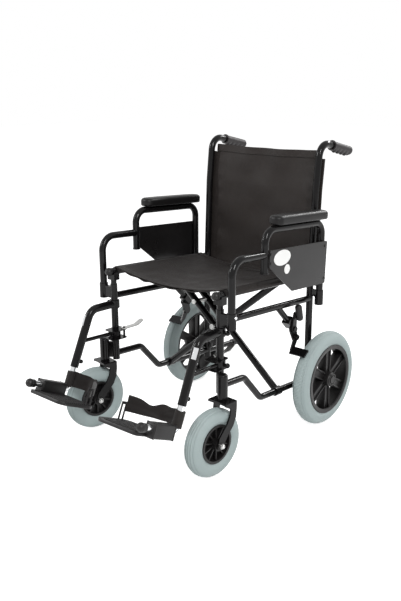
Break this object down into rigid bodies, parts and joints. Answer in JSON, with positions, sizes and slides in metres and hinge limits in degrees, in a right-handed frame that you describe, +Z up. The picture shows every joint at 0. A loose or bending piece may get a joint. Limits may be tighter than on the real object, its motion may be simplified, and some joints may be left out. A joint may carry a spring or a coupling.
{
  "type": "transport wheelchair",
  "caption": "Folding attendant-propelled wheelchair with sling seat, lift-off armrests, swing-away footrests, swivel casters and small rear wheels.",
  "frame": {"origin": "on the floor, at the centre of the bounding box", "axes": "+Z up, -Y the way the occupant faces, +X to the occupant's left"},
  "size_m": [0.628, 0.9858, 0.8937],
  "materials": {
    "frame_black": "gloss powder coat",
    "steel": "zinc plated",
    "chrome": "polished",
    "black_plastic": "moulded",
    "pad_black": "skinned foam",
    "black_rubber": "satin",
    "grip_rubber": "matte",
    "grey_tyre": "matte grey rubber",
    "black_cloth": "woven nylon"
  },
  "bodies": {
    "left_brace": {"left_cross_brace": "frame_black", "right_rail_caps": "black_plastic", "centre_pivot": "steel", "seat_sling": "black_cloth"},
    "right_brace": {"right_cross_brace": "frame_black", "left_rail_caps": "black_plastic"},
    "left_frame": {"left_front_post": "frame_black", "left_rails": "frame_black", "left_rear_post": "frame_black", "left_saddles": "steel", "left_brake_bracket": "frame_black", "left_rear_axle": "steel", "left_tipping_cap": "black_rubber", "left_hand_grip": "grip_rubber", "back_sling": "black_cloth"},
    "left_fork": {"left_caster_fork": "frame_black", "left_caster_axle": "steel"},
    "left_caster": {"left_caster_wheel": "black_plastic", "left_caster_tyre": "grey_tyre"},
    "left_wheel": {"left_rear_wheel": "black_plastic", "left_rear_tyre": "grey_tyre"},
    "left_armrest": {"left_armrest_tube": "frame_black", "left_arm_pad": "pad_black", "left_side_panel": "black_plastic"},
    "left_button": {"left_arm_button": "chrome"},
    "left_lever": {"left_brake_lever": "black_plastic"},
    "left_shoe": {"left_brake_shoe": "frame_black"},
    "left_front_rigging": {"left_hanger": "frame_black"},
    "left_latch": {"left_hanger_latch": "steel"},
    "left_foot_tube": {"left_footrest_tube": "chrome", "left_footrest_cap": "black_plastic", "left_heel_loop": "black_cloth"},
    "left_plate": {"left_footplate": "black_plastic"},
    "right_frame": {"right_front_post": "frame_black", "right_rails": "frame_black", "right_rear_post": "frame_black", "right_saddles": "steel", "right_brake_bracket": "frame_black", "right_rear_axle": "steel", "right_tipping_cap": "black_rubber", "right_hand_grip": "grip_rubber"},
    "right_fork": {"right_caster_fork": "frame_black", "right_caster_axle": "steel"},
    "right_caster": {"right_caster_wheel": "black_plastic", "right_caster_tyre": "grey_tyre"},
    "right_wheel": {"right_rear_wheel": "black_plastic", "right_rear_tyre": "grey_tyre"},
    "right_armrest": {"right_armrest_tube": "frame_black", "right_arm_pad": "pad_black", "right_side_panel": "black_plastic"},
    "right_button": {"right_arm_button": "chrome"},
    "right_lever": {"right_brake_lever": "black_plastic"},
    "right_shoe": {"right_brake_shoe": "frame_black"},
    "right_front_rigging": {"right_hanger": "frame_black"},
    "right_latch": {"right_hanger_latch": "steel"},
    "right_foot_tube": {"right_footrest_tube": "chrome", "right_footrest_cap": "black_plastic", "right_heel_loop": "black_cloth"},
    "right_plate": {"right_footplate": "black_plastic"}
  },
  "joints": [
    {"name": "fold", "type": "hinge", "parent": "left_frame", "child": "left_brace", "pos_m": [0.215, 0.12629, 0.14083], "axis": [0, 0.9982, -0.0593], "range_deg": [0, 30], "deforming": ["back_sling"]},
    {"name": "fold_centre", "type": "hinge", "parent": "left_brace", "child": "right_brace", "pos_m": [0, 0.1232, 0.31642], "axis": [0, 0.9982, -0.0593], "range_deg": [-60, 0], "deforming": ["seat_sling"]},
    {"name": "fold_right", "type": "hinge", "parent": "right_brace", "child": "right_frame", "pos_m": [-0.215, 0.09934, 0.14244], "axis": [0, 0.9982, -0.0593], "range_deg": [0, 30]},
    {"name": "left_caster_swivel", "type": "hinge", "parent": "left_frame", "child": "left_fork", "pos_m": [0.2435, -0.17218, 0.22], "axis": [0, 0, 1], "continuous": true},
    {"name": "left_caster_spin", "type": "hinge", "parent": "left_fork", "child": "left_caster", "pos_m": [0.2413, -0.21412, 0.1], "axis": [0.9986, -0.0523, 0], "continuous": true},
    {"name": "left_wheel_spin", "type": "hinge", "parent": "left_frame", "child": "left_wheel", "pos_m": [0.278, 0.29382, 0.152], "axis": [1, 0, 0], "continuous": true},
    {"name": "left_armrest_lift", "type": "slide", "parent": "left_frame", "child": "left_armrest", "axis": [0, 0, 1], "range_m": [0, 0.04]},
    {"name": "left_button_press", "type": "slide", "parent": "left_frame", "child": "left_button", "axis": [-1, 0, 0], "range_m": [0, 0.0035], "stiffness_N_per_m": 400, "springref_m": -0.002},
    {"name": "left_brake_lever", "type": "hinge", "parent": "left_frame", "child": "left_lever", "pos_m": [0.2313, 0.18782, 0.332], "axis": [1, 0, 0], "range_deg": [0, 50]},
    {"name": "left_brake_shoe", "type": "hinge", "parent": "left_frame", "child": "left_shoe", "pos_m": [0.2313, 0.19982, 0.302], "axis": [1, 0, 0], "range_deg": [0, 8]},
    {"name": "left_rigging_swing", "type": "hinge", "parent": "left_frame", "child": "left_front_rigging", "pos_m": [0.215, -0.14918, 0.309], "axis": [0, 0, 1], "range_deg": [0, 90]},
    {"name": "left_latch", "type": "hinge", "parent": "left_front_rigging", "child": "left_latch", "pos_m": [0.19135, -0.13416, 0.309], "axis": [0, 0, 1], "range_deg": [0, 20], "stiffness_Nm_per_rad": 0.5, "springref_deg": -11.46},
    {"name": "left_foot_height", "type": "slide", "parent": "left_front_rigging", "child": "left_foot_tube", "axis": [0.017, -0.4064, -0.9135], "range_m": [-0.015, 0.06]},
    {"name": "left_plate_flip", "type": "hinge", "parent": "left_foot_tube", "child": "left_plate", "pos_m": [0.22318, -0.34429, 0.17653], "axis": [-0.0383, 0.9127, -0.4067], "range_deg": [0, 90], "deforming": ["left_heel_loop"]},
    {"name": "right_caster_swivel", "type": "hinge", "parent": "right_frame", "child": "right_fork", "pos_m": [-0.2435, -0.17218, 0.22], "axis": [0, 0, 1], "continuous": true},
    {"name": "right_caster_spin", "type": "hinge", "parent": "right_fork", "child": "right_caster", "pos_m": [-0.25223, -0.21326, 0.1], "axis": [0.9781, -0.2079, 0], "continuous": true},
    {"name": "right_wheel_spin", "type": "hinge", "parent": "right_frame", "child": "right_wheel", "pos_m": [-0.278, 0.29382, 0.152], "axis": [1, 0, 0], "continuous": true},
    {"name": "right_armrest_lift", "type": "slide", "parent": "right_frame", "child": "right_armrest", "axis": [0, 0, 1], "range_m": [0, 0.04]},
    {"name": "right_button_press", "type": "slide", "parent": "right_frame", "child": "right_button", "axis": [1, 0, 0], "range_m": [0, 0.0035], "stiffness_N_per_m": 400, "springref_m": -0.002},
    {"name": "right_brake_lever", "type": "hinge", "parent": "right_frame", "child": "right_lever", "pos_m": [-0.2313, 0.18782, 0.332], "axis": [1, 0, 0], "range_deg": [0, 50]},
    {"name": "right_brake_shoe", "type": "hinge", "parent": "right_frame", "child": "right_shoe", "pos_m": [-0.2313, 0.19982, 0.302], "axis": [1, 0, 0], "range_deg": [0, 8]},
    {"name": "right_rigging_swing", "type": "hinge", "parent": "right_frame", "child": "right_front_rigging", "pos_m": [-0.215, -0.14918, 0.309], "axis": [0, 0, -1], "range_deg": [0, 90]},
    {"name": "right_latch", "type": "hinge", "parent": "right_front_rigging", "child": "right_latch", "pos_m": [-0.19135, -0.13416, 0.309], "axis": [0, 0, -1], "range_deg": [0, 20], "stiffness_Nm_per_rad": 0.5, "springref_deg": -11.46},
    {"name": "right_foot_height", "type": "slide", "parent": "right_front_rigging", "child": "right_foot_tube", "axis": [-0.017, -0.4064, -0.9135], "range_m": [-0.015, 0.06]},
    {"name": "right_plate_flip", "type": "hinge", "parent": "right_foot_tube", "child": "right_plate", "pos_m": [-0.22318, -0.34429, 0.17653], "axis": [-0.0383, -0.9127, 0.4067], "range_deg": [0, 90], "deforming": ["right_heel_loop"]}
  ],
  "couplings": [
    {"joint": "fold_centre", "follows": "fold", "ratio": -2},
    {"joint": "fold_right", "follows": "fold", "ratio": 1},
    {"joint": "left_brake_shoe", "follows": "left_brake_lever", "ratio": 0.16},
    {"joint": "left_plate_flip", "follows": "fold", "ratio": 3},
    {"joint": "right_brake_shoe", "follows": "right_brake_lever", "ratio": 0.16},
    {"joint": "right_plate_flip", "follows": "fold", "ratio": 3}
  ]
}
